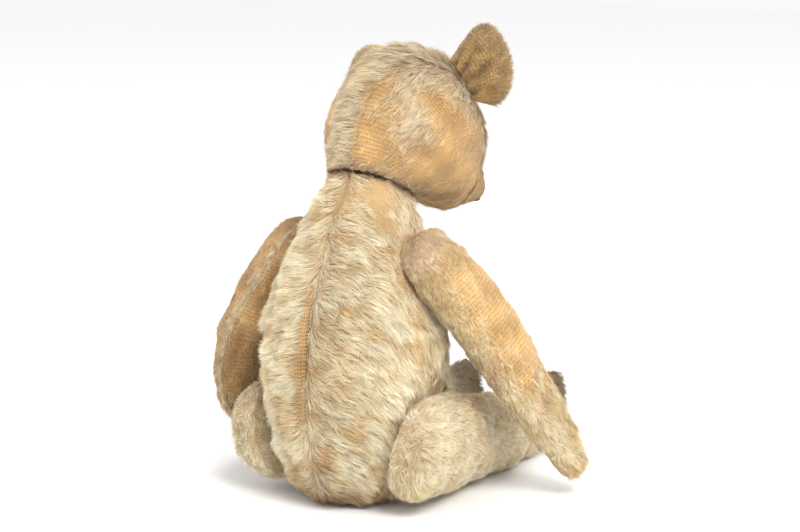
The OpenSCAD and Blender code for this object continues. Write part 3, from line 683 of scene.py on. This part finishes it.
brown = tone(92, 66, 38)
materials = dict(
    backing=clothMaterial("goldenBacking", tone(128, 98, 62), 1.7, 0.3, 0.6, 1.0),
    brownBacking=clothMaterial("brownBacking", tone(104, 74, 42), 1.6, 0.3, 0.6, 1.0),
    pale=pileMaterial("paleMohair", tone(150, 120, 82), 0.55),
    brownPile=pileMaterial("brownMohair", tone(96, 68, 36), 0.6),
    ear=pileMaterial("earMohair", tone(98, 74, 36), 0.6),
    felt=feltMaterial("wornFelt", tone(176, 140, 100), tone(110, 80, 54)),
    tanThread=threadMaterial("tanThread", tone(176, 140, 90), 2600.0, 0.5),
    blackThread=threadMaterial("blackThread", tone(38, 32, 28), 2200.0, 0.45),
    steel=steelMaterial("dullSteel", tone(170, 168, 164)),
    button=buttonMaterial(),
    card=feltMaterial("pressedCard", tone(150, 112, 72), tone(112, 80, 48)))
print("materials made")


def allAlong(skin, vector):
    return np.zeros_like(skin["p"]) + np.asarray(vector, float)


def around(skin):
    # unit direction in which the angle grows
    return unit(np.roll(skin["p"], -1, 1) - np.roll(skin["p"], 1, 1))


def coveredBy(f, gap):
    # guard for strands: keeps them outwards of a joint's plane
    return lambda p: keepAbove(p, f, gap)


def covered(skin, frames, radius):
    # share of cloth with pile on it: all but the flat round each joint
    nearest = np.min([np.linalg.norm(skin["p"] - f[0], axis=-1) for f in frames], 0)
    return np.maximum(skin["free"], ramp(nearest, radius, radius + 6))


# torso

limbFrames = [armFrame(1, 0), armFrame(-1, 0), legFrame(1), legFrame(-1)]

torso = dict(inset=1.6, cap=2.2, finer=3, lump=1.15, lumpSize=30, seam=1.3)
skin = stuffed("torsoSkin", torsoShape, torsoPress, (0.45, 13.6), (46, 64),
    [lambda s: 0 * s, lambda s: 180 + 0 * s], torso)


def torsoGuard(p):
    # keeps strands near a joint inside its plane, and all strands above the floor
    for f in (armFrame(1, 0), armFrame(-1, 0), legFrame(1), legFrame(-1), headFrame()):
        near = np.linalg.norm(p - f[0], axis=-1) < 42
        p = np.where(near[:, None], keepBelow(p, f, 0.1), p)
    p[:, 2] = np.maximum(p[:, 2], 0.1)
    return p


skin["guard"] = torsoGuard
row, angle, p = skin["row"], skin["angle"], skin["p"]
slit = np.exp(-((angle - 0.9) / 2.7) ** 4) * ramp(row, 4.6, 5.0) * (1 - ramp(row, 7.6, 8.0))
neckPatch = np.clip(1.25 * spot(skin, 11.7, -38, 1.6, 36), 0, 1)
strip = spot(skin, 4.1, -11, 0.8, 2.6)
# mask that rises towards the floor: painted shade in the colours, and shorter, sparser pile
seat = 1 - ramp(p[..., 2], 2, 26)
blotch = waves(p, 30, 21)
tint = mixTone(allAlong(skin, tone(188, 150, 98)), tone(156, 120, 74), 0.4 + 0.4 * blotch)
tint = mixTone(tint, tone(222, 184, 128), neckPatch)
# painted shade darkening the cloth towards the floor, and a darker spot at the foot of the back seam
tint = mixTone(tint, tone(150, 104, 56), seat * 0.8 + spot(skin, 1.9, -3, 0.7, 9))
# painted shade on the torso's rim where the head sits over it
tint = mixTone(tint, tone(150, 112, 68), ramp(row, 12.4, 13.0))
# painted shade cast beside the edge of the folded seam flap
tint = mixTone(tint, tone(120, 84, 44),
    np.exp(-((angle + 2.5) / 1.6) ** 2) * ramp(row, 4.6, 5) * (1 - ramp(row, 7.6, 8)))
skinObject(skin, tint, materials["backing"], "torso",
           ["torso_left_panel", "torso_right_panel", "torso_stuffing"])

rowsOfTufts = waves(p * np.array([0.35, 0.35, 1.0]), 10, 23)
density = (0.95 - 0.92 * neckPatch) * (1 - np.clip(slit * 1.6, 0, 1)) * (1 - 0.9 * strip) * covered(skin,
    limbFrames, 20)
density = density * (0.45 + 0.55 * ramp(rowsOfTufts + 0.5 * waves(p, 7, 24), -0.9,
    0.1)) * (1 - 0.5 * seat) * (1 - ramp(row, 12.6, 13.1))
away = np.exp(-(angle / 70) ** 2)[..., None]
comb = around(skin) * np.tanh(angle / 3)[...,
    None] * away + np.array([0, 0, -1.0]) * (0.28 + 0.72 * (1 - away) + 0.9 * np.exp(-(angle / 3) ** 2)[...,
    None])
furTint = mixTone(allAlong(skin, tone(250, 236, 202)), tone(218, 186, 132),
    0.34 + 0.3 * blotch - 0.28 * rowsOfTufts)
furTint = mixTone(furTint, tone(226, 208, 170), 0.5 * ramp(waves(p, 42, 25), 0.1, 0.9))
# fur darkened towards the floor as painted shade, and at the foot of the back seam
furTint = mixTone(furTint, tone(148, 112, 66), 0.75 * seat + 0.6 * spot(skin, 1.9, -3, 0.8, 10))
longest = 11.0 + 2.0 * away[..., 0] - 4.0 * neckPatch + 1.5 * rowsOfTufts - 3 * seat
rise = 0.20 + 0.10 * ramp(rowsOfTufts, -0.2, 0.8) - 0.08 * seat
for label, half in (("Left", angle >= 0), ("Right", angle < 0)):
    pile("torsoPile" + label, skin, "torso", materials["pale"], 2.4, density * half, comb,
         furTint,
         longest, rise, 0.10, 31 if label == "Left" else 37, lock=0.5)
collar = np.exp(-((row - 12.75) / 0.3) ** 2) * (0.4 + 0.6 * ramp(waves(p, 10, 27), -0.3, 0.5))
pile("collarFringe", skin, "torso", materials["pale"], 1.6, collar,
     around(skin) * 0.7 + headFrame()[3] * 0.7,
     allAlong(skin, tone(216, 188, 142)), 5.0 + 0 * row, 0.3 + 0 * row, 0.1, 39, lock=0.4, curl=0.4)


def laidStrip(skin, name, rowSpan, angleSpan, count, height, body, material, tint):
    # a narrow strip laid over a skin: its own grid of rows and angles, raised by height(row share, width share)
    f = np.linspace(0, 1, count[0])[:, None] + np.zeros((1, count[1]))
    w = np.linspace(0, 1, count[1])[None] + np.zeros((count[0], 1))
    rows = skin["row"][:, 0]
    i = np.interp(rowSpan[0] + (rowSpan[1] - rowSpan[0]) * f, rows, np.arange(len(rows)))
    cols = skin["angle"].shape[1]
    j = ((angleSpan[0] + (angleSpan[1] - angleSpan[0]) * w) % 360) / 360 * cols
    i0, j0 = np.clip(i.astype(int), 0, len(rows) - 2), j.astype(int) % cols
    u, v, j1 = (i - i0)[..., None], (j - np.floor(j))[..., None], (j0 + 1) % cols
    both = np.concatenate([skin["p"], skin["n"]], -1)
    at = (both[i0, j0] * (1 - u) + both[i0 + 1, j0] * u) * (1 - v) + (both[i0, j1] * (1 - u) + both[i0 + 1,
        j1] * u) * v
    p, n = at[..., :3], unit(at[..., 3:])
    top = p + n * height(f, w)[..., None]
    obj = gridObject(name, top, n, tint(f, w), wrap=False, step=(0.5, 0.5))
    obj.data.materials.append(material)
    if body:
        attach(obj, body)
    return obj


# the closing seam's folded edge, drawn into ribs by its lacing
flap = dict(rows=(4.75, 7.85), angles=(-0.9, 2.4), ribs=34, raised=1.0)


def flapHeight(f, w):
    # rounded across, ribbed along, running down into the skin at both ends and both sides
    rib = np.abs(np.sin(np.pi * flap["ribs"] * f + 0.5 * w))
    edge = np.clip(np.minimum(f, 1 - f) * 14, 0, 1)
    return (flap["raised"] * np.sin(np.pi * np.clip(w, 0, 1)) ** 0.6 * (0.55 + 0.45 * rib)) * edge - 0.35


def flapTint(f, w):
    # painted highlight on the ribs, painted shade between them and along the near edge
    rib = np.abs(np.sin(np.pi * flap["ribs"] * f + 0.5 * w))
    colour = mixTone(np.zeros(f.shape + (3,)) + tone(110, 80, 42), tone(190, 158, 104), rib)
    return mixTone(colour, tone(58, 36, 18), np.exp(-((w - 0.05) / 0.2) ** 2))


laidStrip(skin, "backSeamFold", flap["rows"], flap["angles"], (240, 14), flapHeight, "torso",
          materials["backing"], flapTint)
print("torso done")


# head

head = dict(inset=1.6, cap=2.2, finer=3, lump=0.7, lumpSize=30, seam=0.8)
fh = headFrame()


def half(s):
    # half angle of the gusset at row s
    return alongRows(gussetHalf, s)[..., 0]


headPress = lambda p: keepAbove(p, fh, 0.45)
skin = stuffed("headSkin", headShape, headPress, (0.6, 15.93), (48, 60),
    [lambda s: half(s), lambda s: -half(s), lambda s: 180 + 0 * s], head)
skin["guard"] = coveredBy(fh, 0.15)
row, angle, p = skin["row"], skin["angle"], skin["p"]
gusset = ramp(half(row) - np.abs(angle), -5, 5)
muzzle = ramp(row, 11.0, 12.6)
blotch = waves(p, 28, 41)
tint = mixTone(allAlong(skin, tone(206, 162, 98)), tone(170, 130, 74), 0.4 + 0.5 * blotch)
tint = mixTone(tint, tone(184, 142, 88), muzzle)
tint = mixTone(tint, tone(126, 88, 50), ramp(row, 14.0, 15.6) * 0.6)
# painted shade on the head's rim where it meets the torso
tint = mixTone(tint, tone(140, 102, 60), 1 - ramp(row, 1.3, 2.3))
skinObject(skin, tint, materials["backing"], "head",
           ["head_left_panel", "head_right_panel", "head_gusset", "head_stuffing"])

matted = ramp(waves(p, 24, 42) + 0.5 * waves(p, 9, 43), -0.15, 0.55)
patches = np.clip(sum(spot(skin, r, a, dr, da) for r, a, dr, da in
                      ((7.6, -62, 0.9, 16), (9.6, -84, 1.2, 18), (4.4, -64, 0.9, 15), (10.6, -128, 1.0, 20),
                      (6.2, -40, 1.6, 14))), 0, 1)
density = np.maximum(gusset * 0.9, 0.03 + 0.11 * matted + 0.85 * patches)
density = density * (1 - 0.93 * muzzle) * skin["free"] * ramp(row, 1.4, 2.2)
back, down = -fh[2], -fh[3]
comb = (back * 0.9 + fh[1] * 0.75 + down * 0.25) * gusset[...,
    None] + (back * 0.55 + down * 0.85) * (1 - gusset[..., None])
furTint = mixTone(allAlong(skin, tone(222, 204, 168)), tone(198, 164, 112), 0.35 + 0.4 * blotch)
furTint = mixTone(furTint, tone(214, 200, 172), gusset * (0.6 + 0.3 * waves(p, 16, 44)))
furTint = mixTone(furTint, tone(218, 202, 172), patches * 0.8)
longest = 7.0 + 7.0 * gusset + 3.0 * patches
rise = 0.22 + 0.10 * gusset
for label, side in (("Left", angle >= 0), ("Right", angle < 0)):
    pile("headPile" + label, skin, "head", materials["pale"], 3.0, density * side, comb,
         furTint,
         longest, rise, 0.115, 51 if label == "Left" else 57, lock=0.5)
fringe = np.exp(-((row - 1.8) / 0.45) ** 2) * (0.35 + 0.65 * ramp(waves(p, 12, 45), -0.3, 0.5))
pile("neckFringe", skin, "head", materials["pale"], 2.2, fringe,
     allAlong(skin, down * 0.8) + around(skin) * 0.6,
     allAlong(skin, tone(210, 186, 146)), 5.5 + 0 * row, 0.32 + 0 * row, 0.1, 59, lock=0.6, curl=0.4)

# nose and mouth: laid black thread
stitches = dict(noseRows=(14.2, 15.9), noseHalf=60, threads=15)


def noseHeight(f, w):
    # upright threads side by side, sinking at the edge of the patch
    edge = np.clip(np.minimum(np.minimum(f, 1 - f) * 6, np.minimum(w, 1 - w) * 9), 0, 1) ** 0.5
    return edge * (1.0 + 0.45 * np.abs(np.sin(np.pi * stitches["threads"] * w))) - 0.2


nose = laidStrip(skin, "noseThreads", stitches["noseRows"], (-stitches["noseHalf"], stitches["noseHalf"]),
                 (24, 121), noseHeight,
                 None, materials["blackThread"], plain(40, 34, 30))
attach(nose, "head")
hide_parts("nose_stitching")


def mouthHeight(f, w):
    # rounded across, sinking at both ends
    return np.sin(np.pi * w) ** 0.5 * 1.15 * np.clip(np.minimum(f, 1 - f) * 8, 0, 1) ** 0.5 - 0.25


mouthParts = [laidStrip(skin, "mouthThread" + label, rows, angles, (40, 9), mouthHeight, "head",
                        materials["blackThread"],
                        plain(40, 34, 30))
              for label, rows,
              angles in (("Middle", (14.7, 15.85), (174, 186)), ("Left", (13.3, 14.95), (144, 151)),
              ("Right", (13.3, 14.95), (209, 216)))]
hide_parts("mouth_stitching")
print("head done")


# ears: two layers of cloth cupped forwards, gathered where they meet the head

earShape = dict(height=36, base=(8.0, 0.2), angles=(33, 38), thick=1.7)


def earPoint(side, t, h, off):
    # t runs along the base from crown to cheek, h rises away from the head
    x = 2 * t - 1
    a = side * (earShape["angles"][0] + earShape["angles"][1] * t)
    base = headPoint(earShape["base"][0] - earShape["base"][1] * t, a)
    lean = 10 + 74 * t if side < 0 else 44 + 42 * t
    out = np.stack([side * sind(lean), -0.2 * cosd(lean), cosd(lean)], -1)
    height = earShape["height"] * np.sqrt(np.maximum(0.02, 1 - 0.95 * np.abs(x) ** 2.4)) * h
    cup = 7 * x * x * h + 3 * h * h
    fold = 0.9 * np.cos(2 * np.pi * 4.5 * t + 0.8) * (1 - h) ** 1.5
    rise = out * (height + 0.2)[..., None]
    local = base + rise
    local[..., 1] += cup + fold + off
    return place(local, fh)


for side, label in ((1, "Left"), (-1, "Right")):
    t = np.linspace(0, 1, 60)[None] + np.zeros((96, 1))
    turn = np.linspace(0, 2 * np.pi, 96, endpoint=False)[:, None] + np.zeros((1, 60))
    h = 0.5 - 0.5 * np.cos(turn)
    taper = 0.55 + 0.45 * (1 - np.abs(2 * t - 1) ** 4)
    thick = earShape["thick"] * np.sign(np.sin(turn)) * np.abs(np.sin(turn)) ** 0.35 * taper
    loop = earPoint(side, t, h, thick).transpose(1, 0, 2)
    n = gridNormals(loop)
    ear = dict(name="ear" + label, p=loop, n=n, row=t.T, angle=np.degrees(turn.T), step=(0.7, 0.7))
    edge = h.T ** 6
    folds = 0.5 + 0.5 * np.cos(2 * np.pi * 4.5 * t.T + 0.8)
    # darker in the gathered folds towards the base as painted shade in the creases, plus random tone
    earTint = mixTone(allAlong(ear, tone(176, 142, 88)), tone(110, 80, 42),
        (1 - h.T) * 0.7 * folds + 0.3 * waves(loop, 14, 61))
    earTint = mixTone(earTint, tone(196, 172, 128), edge * 0.6)
    earTint = mixTone(earTint, tone(206, 188, 152), 0.6 if side > 0 else 0.0)
    obj = gridObject(ear["name"], loop, n, earTint, step=ear["step"])
    obj.data.materials.append(materials["brownBacking"])
    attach(obj, "head")
    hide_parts("ear_%s_front" % label.lower(), "ear_%s_back" % label.lower())
    outwards = unit(loop - fh[0] - 46 * fh[3])
    # the pile takes the cloth's tint a little lighter, painted fold shade included
    pile("earPile" + label, ear, "head", materials["ear"], 4.2,
         0.35 + 0.5 * ramp(waves(loop, 9, 62), -0.7, 0.3) + edge,
         outwards, earTint * 1.12, 2.6 + 1.8 * edge, 0.42 + 0.1 * edge, 0.10, 63 + side, lock=0.3, curl=0.35,
         limit=24000)
    pile("earFray" + label, ear, "head", materials["pale"], 0.22,
         edge * (waves(loop, 12, 65) > 0), outwards + 0.4 * fh[1],
         allAlong(ear, tone(232, 222, 200)), 7.0 + 0 * edge, 0.3 + 0 * edge, 0.07, 67 + side, lock=0.1,
         curl=0.5)
print("ears done")


# arms

arm = dict(inset=1.3, cap=1.8, finer=3, lump=0.7, lumpSize=20, seam=0.75)
for side, label in ((-1, "Right"), (1, "Left")):
    f = armFrame(side)
    body = "arm_" + label.lower()
    skin = stuffed("arm%sSkin" % label, lambda s, a: armShape(s, a, side), limbPress(f, 400), (0.25, 14.8),
                   (50, 28),
                   [lambda s: 90 + 0 * s, lambda s: -90 + 0 * s], arm)
    skin["guard"] = coveredBy(f, 0.2)
    row, angle, p = skin["row"], skin["angle"], skin["p"]
    blotch = waves(p, 24, 71 + side)
    forearm = ramp(row + 0.5 * waves(p, 18, 72), 8.2, 9.6)
    pad = ramp(np.abs(angle), 84, 92) * ramp(row, 10.7, 10.9)
    towardsPaw = np.where((row < 3.5)[..., None], f[1], unit(np.gradient(p, axis=0)))
    if side < 0:
        under = ramp(cosd(angle + 110), 0.2, 0.9)
        tint = mixTone(allAlong(skin, tone(210, 166, 100)), tone(172, 132, 76), 0.4 + 0.5 * blotch)
        # painted shade in the crease under the elbow
        tint = mixTone(tint, tone(138, 94, 52), 0.75 * under * np.exp(-((row - 8.4) / 1.8) ** 2))
        tint = mixTone(tint, tone(214, 176, 138), np.exp(-((row - 2.2) / 1.6) ** 2) * 0.6)
        tufts = ramp(waves(p, 17, 73) + 0.4 * waves(p, 6, 74), 0.15, 0.75)
        density = np.maximum(0.04 + 0.16 * tufts,
            0.95 * forearm) + 0.6 * np.exp(-((row - 2.4) / 1.7) ** 2) + 0.6 * under
        furTint = mixTone(allAlong(skin, tone(234, 216, 178)), tone(212, 182, 128), 0.3 + 0.35 * blotch)
        furTint = mixTone(furTint, tone(214, 186, 160), 0.6 * np.exp(-((row - 2.0) / 1.5) ** 2))
        longest, curl = 5.0 + 4.0 * forearm, 0.28
    else:
        tint = mixTone(allAlong(skin, tone(192, 152, 98)), tone(148, 112, 68), 0.4 + 0.5 * blotch)
        tint = mixTone(tint, tone(84, 54, 26), spot(skin, 9.5, -110, 1.2, 40) * 0.8)
        ridge = np.exp(-((angle + 90) / 9) ** 2)
        tufts = ramp(waves(p, 15, 75) + 0.4 * waves(p, 6, 76), -0.1, 0.6)
        density = np.maximum(0.10 + 0.28 * tufts, 0.95 * ridge)
        furTint = mixTone(allAlong(skin, tone(212, 180, 126)), tone(180, 138, 84), 0.4 + 0.4 * blotch)
        furTint = mixTone(furTint, tone(222, 204, 170), ridge * 0.9)
        longest, curl = 5.5 + 2.5 * ridge, 0.3
    nodes = [body + "_outer", body + "_inner", body + "_stuffing"]
    skinObject(skin, tint, materials["backing" if side < 0 else "brownBacking"], body,
               nodes)
    density = density * (1 - pad) * covered(skin, [f], 21)
    pile("arm%sPile" % label, skin, body,
         materials["pale" if side < 0 else "brownPile"], 3.6, density, towardsPaw, furTint, longest,
         0.24 + 0.1 * forearm, 0.11, 81 + side, lock=0.55, curl=curl)
    felt = laidStrip(skin, "arm%sPad" % label, (10.85, 14.75), (90, 270), (60, 40),
                     lambda f, w: 0.55 * np.clip(np.minimum(np.minimum(f * 8, 1), np.minimum(w, 1 - w) * 10), 0, 1) - 0.1, body,
                     materials["felt"], plain(170, 134, 96))
    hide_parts(body + "_pad")
print("arms done")


# legs

leg = dict(inset=1.5, cap=2.0, finer=3, lump=0.7, lumpSize=24, seam=0.75)
for side, label in ((-1, "Right"), (1, "Left")):
    f = legFrame(side)
    body = "leg_" + label.lower()
    skin = stuffed("leg%sSkin" % label, lambda s, a: legShape(s, a, side), limbPress(f, 182.6), (0.25, 15.6),
                   (52, 40),
                   [lambda s: 90 + 0 * s, lambda s: -90 + 0 * s], leg)

    def legGuard(p, f=f):
        p = keepAbove(p, f, 0.2)
        p[:, 2] = np.maximum(p[:, 2], 0.1)
        return p

    skin["guard"] = legGuard
    row, angle, p = skin["row"], skin["angle"], skin["p"]
    reach = (p - f[0]) @ f[1]
    blotch = waves(p, 26, 91 + side)
    foot = ramp(reach, 134, 168)
    sole = ramp(reach, 181.2, 181.9)
    tint = mixTone(allAlong(skin, tone(212, 182, 132)), tone(184, 148, 98), 0.4 + 0.4 * blotch)
    # the foot darkened as painted shade
    tint = mixTone(tint, tone(96, 80, 58), foot * 0.85)
    skinObject(skin, tint, materials["backing"], body,
               [body + "_outer", body + "_inner", body + "_stuffing"])
    worn = ramp(waves(p, 20, 93) + 0.4 * waves(p, 7, 94), -0.9, -0.1)
    density = (0.6 + 0.4 * worn) * (1 - sole) * covered(skin, [f], 24)
    furTint = mixTone(allAlong(skin, tone(246, 232, 200)), tone(226, 200, 150), 0.3 + 0.3 * blotch)
    furTint = mixTone(furTint, tone(210, 198, 168), 0.45 * ramp(reach, 80, 130))
    # fur on the foot darkened as painted shade
    furTint = mixTone(furTint, tone(88, 76, 60), foot * 0.95)
    comb = allAlong(skin, f[1] + np.array([0, 0, -0.45]))
    pile("leg%sPile" % label, skin, body, materials["pale"], 2.6, density, comb, furTint,
         8.0 + 1.0 * worn, 0.24 + 0.08 * foot, 0.12, 101 + side, lock=0.5, curl=0.28)
    # felt sole over the flat end of the foot
    ring = skin["p"][np.abs(row[:, 0] - 15.0).argmin()]
    middle = ring.mean(0)
    share = np.array([0.02, 0.25, 0.5, 0.75, 0.93, 0.98, 0.95])[:, None, None]
    rise = np.array([1.2, 1.25, 1.2, 1.1, 0.9, 0.45, -0.1])[:, None, None]
    flat = middle + (ring - middle) * share
    flat = flat - ((flat - f[0]) @ f[1] - 182.6)[..., None] * f[1] + rise * f[1]
    obj = gridObject("leg%sSole" % label, flat, allAlong(dict(p=flat), f[1]),
        allAlong(dict(p=flat), tone(150, 118, 84)), step=(2, 2))
    obj.data.materials.append(materials["felt"])
    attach(obj, body)
    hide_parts(body + "_sole")
print("legs done")


# CAD parts that stay

def dress(obj, material):
    obj.data.materials.clear()
    obj.data.materials.append(material)


for name, obj in cadNodes.items():
    if "disc" in name:
        dress(obj, materials["card"])
    elif "washer" in name or name.endswith("_pin"):
        dress(obj, materials["steel"])
    elif name.startswith("eye"):
        dress(obj, materials["button"])
    elif name == "back_stitches":
        dress(obj, materials["tanThread"])


# studio

def addStudio():
    # a plain pale floor, three soft lights and a white surround
    floor = meshFrom("studioFloor",
                     np.array([[-4000, -4000, -0.2], [4000, -4000, -0.2], [4000, 4000, -0.2],
                     [-4000, 4000, -0.2]], float),
                     np.array([[0, 1, 2, 3]]), smooth=False)
    material, tree, shader, place = startMaterial("paleFloor", Roughness=0.9)
    grain = noise(tree, place, 3.0, 2.0)
    tree.links.new(blended(tree, grain, (0.93, 0.93, 0.93, 1), (0.96, 0.96, 0.96, 1)),
        shader.inputs["Base Color"])
    floor.data.materials.append(material)
    for name, stand, power, size in (("keyLight", (-1.5, 0.9, 1.7), 44, 1.0),
        ("fillLight", (1.6, 1.3, 1.0), 5, 1.6), ("topLight", (0.0, -0.3, 2.0), 10, 1.5)):
        data = bpy.data.lights.new(name, "AREA")
        data.energy, data.size = power, size
        lamp = bpy.data.objects.new(name, data)
        lamp.location = stand
        lamp.rotation_euler = (Vector((0, 0, 0.14)) - Vector(stand)).to_track_quat("-Z", "Y").to_euler()
        scene.collection.objects.link(lamp)
    world = bpy.data.worlds.new("studioWorld")
    scene.world = world
    world.use_nodes = True
    world.node_tree.nodes["Background"].inputs[0].default_value = (1, 1, 1, 1)
    world.node_tree.nodes["Background"].inputs[1].default_value = 0.95


addStudio()
scene.view_settings.view_transform = "Standard"
print("studio done")
